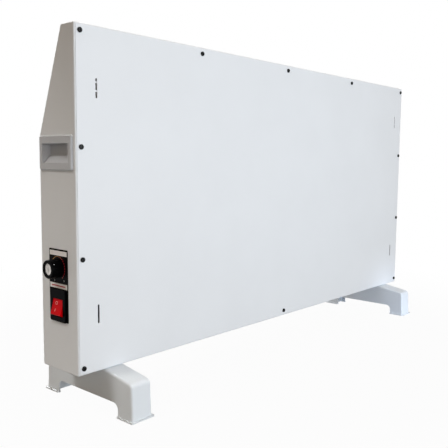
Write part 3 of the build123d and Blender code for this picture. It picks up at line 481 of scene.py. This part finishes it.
def turnedAluminium(s):
    low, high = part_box("knob_disc")
    middle = [(low[i] + high[i]) / 2 for i in range(3)]
    material, tree, shader, place = newMaterial(
        "turnedAluminium", {"Metallic": 1.0, "Roughness": s["roughness"], "Anisotropic": s["stretch"]}
    )
    centred = addNode(
        tree,
        "ShaderNodeVectorMath",
        {"operation": "SUBTRACT", 1: middle},
        {0: place},
    )
    radius = addNode(tree, "ShaderNodeVectorMath", {"operation": "LENGTH"}, {0: centred.outputs[0]})
    turns = addNode(
        tree,
        "ShaderNodeMath",
        {"operation": "MULTIPLY", 1: 2 * math.pi / (s["ring"] * mm)},
        {0: radius.outputs["Value"]},
    )
    ridge = addNode(tree, "ShaderNodeMath", {"operation": "SINE"}, {0: turns.outputs[0]})
    # painted reflections: noise darkens the disc's colour in grey patches where dark surroundings would be
    # mirrored
    cloud = addNode(tree, "ShaderNodeTexNoise", {"Scale": 1 / (s["smear"] * mm)}, {"Vector": place})
    shade = addNode(
        tree,
        "ShaderNodeMapRange",
        {"From Min": s["reflectionSpan"][0], "From Max": s["reflectionSpan"][1], "To Min": s["reflectionShade"]},
        {"Value": cloud.outputs["Fac"]},
    )
    colour = addNode(
        tree,
        "ShaderNodeVectorMath",
        {"operation": "SCALE", 0: toLinear(s["colour"])[:3]},
        {"Scale": shade.outputs["Result"]},
    )
    tree.links.new(colour.outputs[0], shader.inputs["Base Color"])
    bump = addNode(
        tree,
        "ShaderNodeBump",
        {"Strength": s["ringStrength"], "Distance": s["ringHeight"] * mm},
        {"Height": ridge.outputs[0]},
    )
    tree.links.new(bump.outputs[0], shader.inputs["Normal"])
    return material


dress(turnedAluminium(discSettings), "knob_disc")


# polished red polycarbonate: clear enough for light to spread inside it, with a painted glow in its own red
rockerSettings = {
    "colour": "#cc000d",
    "glow": 0.09,  # painted glow: emission in the rocker's red, standing in for light that comes out of it
    "roughness": 0.3,
    "gloss": 0.04,
    "flow": 6.0,  # mm, streaks from the moulding
    "flowShade": (0.88, 1.1),
    "clearness": 0.08,  # share of the light that goes in
    "spread": 1.5,  # mm
    "spreadTint": (1.0, 0.15, 0.1),
}


def redPolycarbonate(s):
    material, tree, shader, place = newMaterial(
        "redPolycarbonate",
        {
            "Roughness": s["roughness"],
            "IOR": 1.585,
            "Specular IOR Level": s["gloss"],
            # painted glow: the rocker gives off a little red light of its own
            "Emission Color": toLinear(s["colour"]),
            "Emission Strength": s["glow"],
            "Subsurface Weight": s["clearness"],
            "Subsurface Radius": s["spreadTint"],
            "Subsurface Scale": s["spread"] * mm,
        },
    )
    flow = addNode(tree, "ShaderNodeTexNoise", {"Scale": 1 / (s["flow"] * mm)}, {"Vector": place})
    shade = addNode(
        tree,
        "ShaderNodeMapRange",
        {"To Min": s["flowShade"][0], "To Max": s["flowShade"][1]},
        {"Value": flow.outputs["Fac"]},
    )
    colour = addNode(
        tree,
        "ShaderNodeVectorMath",
        {"operation": "SCALE", 0: toLinear(s["colour"])[:3]},
        {"Scale": shade.outputs["Result"]},
    )
    tree.links.new(colour.outputs[0], shader.inputs["Base Color"])
    return material


dress(redPolycarbonate(rockerSettings), "switch_rocker")


# drawn glass of the small lamp: clear, warmed by the neon behind it, a little smeared
glassSettings = {"colour": "#ffdcc6", "smear": 2.0, "roughness": (0.02, 0.08)}


def lampGlass(s):
    material, tree, shader, place = newMaterial(
        "lampGlass", {"Transmission Weight": 1.0, "IOR": 1.5, "Base Color": toLinear(s["colour"])}
    )
    smear = addNode(tree, "ShaderNodeTexNoise", {"Scale": 1 / (s["smear"] * mm)}, {"Vector": place})
    dull = addNode(
        tree,
        "ShaderNodeMapRange",
        {"To Min": s["roughness"][0], "To Max": s["roughness"][1]},
        {"Value": smear.outputs["Fac"]},
    )
    tree.links.new(dull.outputs["Result"], shader.inputs["Roughness"])
    return material


dress(lampGlass(glassSettings), "switch_lamp")


# pressed steatite, half glazed: cream with fine dark specks
steatiteSettings = {
    "colour": "#e6e1d3",
    "speck": "#c9c0a8",
    "speckSpan": (0.4, 0.6),  # of the noise
    "roughness": 0.36,
    "grain": 0.8,  # mm
}


def steatite(s):
    material, tree, shader, place = newMaterial("steatite", {"Roughness": s["roughness"], "IOR": 1.55})
    specks = addNode(
        tree, "ShaderNodeTexNoise", {"Scale": 1 / (s["grain"] * mm), "Detail": 4.0}, {"Vector": place}
    )
    sharp = addNode(
        tree,
        "ShaderNodeMapRange",
        {"From Min": s["speckSpan"][0], "From Max": s["speckSpan"][1]},
        {"Value": specks.outputs["Fac"]},
    )
    colour = addNode(
        tree,
        "ShaderNodeMix",
        {"data_type": "RGBA", 6: toLinear(s["speck"]), 7: toLinear(s["colour"])},
        {0: sharp.outputs["Result"]},
    )
    tree.links.new(colour.outputs[2], shader.inputs["Base Color"])
    return material


dress(steatite(steatiteSettings), "overheat_cutout terminal_block")


# braided silicone sleeve: dull, with the braid's slanting ribs; the earth lead is green with yellow bands
sleeveSettings = {
    "rib": 1.2,  # mm
    "ribHeight": 0.2,  # mm
    "ribStrength": 0.3,
    "bandSpan": (0.55, 0.65),  # of the wave, where one colour turns into the other
    "roughness": 0.55,
    "sleeves": [
        # name, two colours, width of the bands in mm, leads
        ("brownSleeve", "#5d3219", "#6b3c20", 2.0, "wire_live wire_thermostat wire_cutout wire_element"),
        ("blueSleeve", "#1f4f93", "#2a5ea6", 2.0, "wire_neutral wire_return"),
        ("earthSleeve", "#2f8f2c", "#e2d21c", 6.0, "wire_earth"),
    ],
}


def siliconeSleeve(name, first, second, bandWidth, s):
    material, tree, shader, place = newMaterial(name, {"Roughness": s["roughness"], "IOR": 1.43})
    ribs = addNode(
        tree,
        "ShaderNodeTexWave",
        {"bands_direction": "DIAGONAL", "Scale": 0.5 / (s["rib"] * mm)},
        {"Vector": place},
    )
    bands = addNode(
        tree,
        "ShaderNodeTexWave",
        {"bands_direction": "DIAGONAL", "Scale": 0.5 / (bandWidth * mm)},
        {"Vector": place},
    )
    sharp = addNode(
        tree,
        "ShaderNodeMapRange",
        {"From Min": s["bandSpan"][0], "From Max": s["bandSpan"][1]},
        {"Value": bands.outputs["Fac"]},
    )
    colour = addNode(
        tree,
        "ShaderNodeMix",
        {"data_type": "RGBA", 6: toLinear(first), 7: toLinear(second)},
        {0: sharp.outputs["Result"]},
    )
    tree.links.new(colour.outputs[2], shader.inputs["Base Color"])
    bump = addNode(
        tree,
        "ShaderNodeBump",
        {"Strength": s["ribStrength"], "Distance": s["ribHeight"] * mm},
        {"Height": ribs.outputs["Fac"]},
    )
    tree.links.new(bump.outputs[0], shader.inputs["Normal"])
    return material


for name, first, second, bandWidth, leads in sleeveSettings["sleeves"]:
    dress(siliconeSleeve(name, first, second, bandWidth, sleeveSettings), leads)
print("finishes set")


# screen print on the scale plate: strips, arc and end numbers, a hair proud of the film; sizes in mm
printSettings = {
    "ink": 0.06,
    "white": "#fafafa",
    "red": "#a81020",
    "gold": "#a87a2c",
    "strips": [(238.5, 245.5), (190.0, 197.5)],  # lower and upper edge, above the floor
    "stripMargin": 1.4,
    "rule": (1.7, 4.5),  # thickness of the red rule in the lower strip, and its margin
    "arcRadius": 17.2,
    "arcWidth": 1.2,
    "arcFrom": 148.0,  # degrees from the rear, over the top
    "arcTo": -58.0,
    "arcSteps": 48,
    "dash": 3,  # every third step of the arc is left open
    "numbers": [("1", -8.5, -19.0), ("6", 15.0, -17.5)],  # from the dial's axis
    "numberHeight": 3.0,
    "numberScale": 1.4,  # letter size that gives a figure of height 1
}


# matt screen ink, a little thin in places
inkSettings = {
    "roughness": 0.5,
    "patch": 1.5,  # mm
    "shade": (0.88, 1.04),
    "fade": (-4.0, 13.0),  # mm from the axis towards the rear, where a second colour takes over
}


def printInk(name, s, colour, second=None, axis=None):
    material, tree, shader, place = newMaterial(name, {"Roughness": s["roughness"], "IOR": 1.48})
    thin = addNode(
        tree, "ShaderNodeTexNoise", {"Scale": 1 / (s["patch"] * mm), "Detail": 2.0}, {"Vector": place}
    )
    shade = addNode(
        tree,
        "ShaderNodeMapRange",
        {"To Min": s["shade"][0], "To Max": s["shade"][1]},
        {"Value": thin.outputs["Fac"]},
    )
    base = addNode(
        tree,
        "ShaderNodeMix",
        {"data_type": "RGBA", 0: 0.0, 6: toLinear(colour), 7: toLinear(second or colour)},
    )
    if axis:
        around = addNode(tree, "ShaderNodeVectorMath", {"operation": "SUBTRACT", 1: axis}, {0: place})
        parts = addNode(tree, "ShaderNodeSeparateXYZ", links={0: around.outputs[0]})
        along = addNode(
            tree,
            "ShaderNodeMapRange",
            {"From Min": s["fade"][0] * mm, "From Max": s["fade"][1] * mm},
            {"Value": parts.outputs["Y"]},
        )
        tree.links.new(along.outputs["Result"], base.inputs[0])
    colour = addNode(
        tree,
        "ShaderNodeVectorMath",
        {"operation": "SCALE"},
        {0: base.outputs[2], "Scale": shade.outputs["Result"]},
    )
    tree.links.new(colour.outputs[0], shader.inputs["Base Color"])
    return material


def addSlab(form, low, high):
    middle = [(a + b) / 2 for a, b in zip(low, high)]
    size = [b - a for a, b in zip(low, high)]
    bmesh.ops.create_cube(form, size=1.0, matrix=Matrix.Translation(middle) @ Matrix.Diagonal(size + [1.0]))


def makePrint(s):
    low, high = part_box("scale_plate")
    dialLow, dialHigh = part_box("thermostat_spindle")
    axis = Vector((high[0], (dialLow[1] + dialHigh[1]) / 2, (dialLow[2] + dialHigh[2]) / 2))
    face, top = high[0], high[0] + s["ink"] * mm
    left, right = low[1] + s["stripMargin"] * mm, high[1] - s["stripMargin"] * mm

    form = bmesh.new()
    for bottom, upper in s["strips"]:
        addSlab(form, (face, left, bottom * mm), (top, right, upper * mm))
    whiteInk = printInk("whiteInk", inkSettings, s["white"])
    finishPiece("scale_strips", form, whiteInk, "casing")

    form = bmesh.new()
    thickness, margin = s["rule"]
    bottom, upper = s["strips"][1]
    middle = (bottom + upper) / 2
    addSlab(
        form,
        (top, left + margin * mm, (middle - thickness / 2) * mm),
        (top + s["ink"] * mm, right - margin * mm, (middle + thickness / 2) * mm),
    )
    redInk = printInk("redInk", inkSettings, s["red"])
    finishPiece("scale_rule", form, redInk, "casing")

    form = bmesh.new()
    start = math.radians(s["arcFrom"])
    ends = []
    for radius in (s["arcRadius"] - s["arcWidth"] / 2, s["arcRadius"] + s["arcWidth"] / 2):
        offset = Vector((0, math.cos(start), math.sin(start))) * radius * mm
        ends.append(form.verts.new(axis + offset))
    edge = form.edges.new(ends)
    bmesh.ops.spin(
        form,
        geom=ends + [edge],
        cent=axis,
        axis=(1, 0, 0),
        angle=math.radians(s["arcTo"] - s["arcFrom"]),
        steps=s["arcSteps"],
    )
    gaps = [step for i, step in enumerate(form.faces) if i % s["dash"] == s["dash"] - 1]
    bmesh.ops.delete(form, geom=gaps, context="FACES")
    raised = bmesh.ops.extrude_face_region(form, geom=form.faces[:])["geom"]
    lifted = [item for item in raised if isinstance(item, bmesh.types.BMVert)]
    bmesh.ops.translate(form, vec=(s["ink"] * mm, 0, 0), verts=lifted)
    arcInk = printInk("goldToRedInk", inkSettings, s["gold"], s["red"], axis)
    finishPiece("dial_arc", form, arcInk, "casing")

    form = bmesh.new()
    for text, across, up in s["numbers"]:
        curve = bpy.data.curves.new("number", "FONT")
        curve.body = text
        curve.size = s["numberHeight"] * mm * s["numberScale"]
        curve.extrude = s["ink"] * mm / 2
        curve.align_x = "CENTER"
        curve.align_y = "CENTER"
        curve.resolution_u = 3
        writer = bpy.data.objects.new("number", curve)
        flat = bpy.data.meshes.new_from_object(writer)
        known = len(form.verts)
        form.from_mesh(flat)
        form.verts.ensure_lookup_table()
        turn = Matrix(((0, 0, 1), (1, 0, 0), (0, 1, 0))).to_4x4()
        seat = Matrix.Translation((top - s["ink"] * mm / 2, axis.y + across * mm, axis.z + up * mm))
        bmesh.ops.transform(form, matrix=seat @ turn, verts=form.verts[known:])
        bpy.data.objects.remove(writer)
    bmesh.ops.remove_doubles(form, verts=form.verts[:], dist=1e-6)
    finishPiece("dial_numbers", form, whiteInk, "casing")


makePrint(printSettings)
print("scale printed")


# short white pointer let into the knob's fluted flank, near its front; sizes in mm
pointerSettings = {
    "angle": 36.0,  # degrees up from the rear
    "width": 0.9,
    "length": 1.8,
    "front": 3.0,  # from the knob's face
    "drop": 0.5,  # of the tapered, fluted flank below the knob's widest radius
    "proud": 0.25,
    "depth": 1.0,
    "rounding": 0.2,
}


def makePointer(s):
    low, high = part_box("knob")
    axis = Vector((0, (low[1] + high[1]) / 2, (low[2] + high[2]) / 2))
    radius = (high[1] - low[1]) / 2
    form = bmesh.new()
    addSlab(
        form,
        (high[0] - (s["front"] + s["length"]) * mm, radius - s["depth"] * mm, -s["width"] / 2 * mm),
        (high[0] - s["front"] * mm, radius + (s["proud"] - s["drop"]) * mm, s["width"] / 2 * mm),
    )
    bmesh.ops.bevel(
        form,
        geom=form.edges[:],
        offset=s["rounding"] * mm,
        segments=2,
        affect="EDGES",
        profile=0.5,
        material=-1,
    )
    turn = Matrix.Rotation(math.radians(s["angle"]), 4, "X")
    bmesh.ops.transform(form, matrix=Matrix.Translation(axis) @ turn, verts=form.verts[:])
    finishPiece("knob_pointer", form, whitePlastic, "dial")


makePointer(pointerSettings)


# the rocker's moulded marks, ring above and bar below, filled with pale ink; sizes in mm
markSettings = {
    "ring": (5.6, -2.5, 2.2, 0.7),  # its place along and across the rocker from the pivot, radius, width
    "bar": (-5.0, -3.3, 4.2, 1.0),  # its place along and across, height and width
    "ringSteps": 28,
    "proud": 0.12,
    "colour": "#f4b4ac",
    "tilt": 14.0,  # degrees, of the rocker at rest
    "faceRise": 5.2,  # of the middle of the rocker's hollow face, from the pivot
    "faceRadius": 83.0,  # of the hollow face
}


def makeMarks(s):
    joint = [j for j in frame["record"]["behaviour"]["joints"] if j["name"] == "rocker_tip"][0]
    pivot = Vector(joint["pos_m"])
    tilt = Matrix.Rotation(math.radians(-s["tilt"]), 4, "Y")
    form = bmesh.new()
    place, across, radius, width = s["ring"]
    ends = [form.verts.new((0, radius + side * width / 2, 0)) for side in (-1, 1)]
    edge = form.edges.new(ends)
    bmesh.ops.spin(
        form,
        geom=ends + [edge],
        cent=(0, 0, 0),
        axis=(1, 0, 0),
        angle=2 * math.pi,
        steps=s["ringSteps"],
        use_merge=True,
    )
    raised = bmesh.ops.extrude_face_region(form, geom=form.faces[:])["geom"]
    lifted = [item for item in raised if isinstance(item, bmesh.types.BMVert)]
    bmesh.ops.translate(form, vec=(s["proud"], 0, 0), verts=lifted)
    seatMark(s, form, form.verts[:], place, across)
    known = len(form.verts)
    place, across, height, width = s["bar"]
    addSlab(form, (0, -width / 2, -height / 2), (s["proud"], width / 2, height / 2))
    form.verts.ensure_lookup_table()
    seatMark(s, form, form.verts[known:], place, across)
    whole = Matrix.Translation(pivot) @ tilt @ Matrix.Diagonal((mm, mm, mm, 1))
    bmesh.ops.transform(form, matrix=whole, verts=form.verts[:])
    paleInk = printInk("paleInk", inkSettings, s["colour"])
    finishPiece("rocker_marks", form, paleInk, "rocker")


def seatMark(s, form, verts, place, across):
    lean = math.asin(place / s["faceRadius"])
    rise = s["faceRise"] + s["faceRadius"] * (1 - math.cos(lean))
    seat = Matrix.Translation((rise, across, place)) @ Matrix.Rotation(lean, 4, "Y")
    bmesh.ops.transform(form, matrix=seat, verts=verts)


makeMarks(markSettings)
print("small marks made")
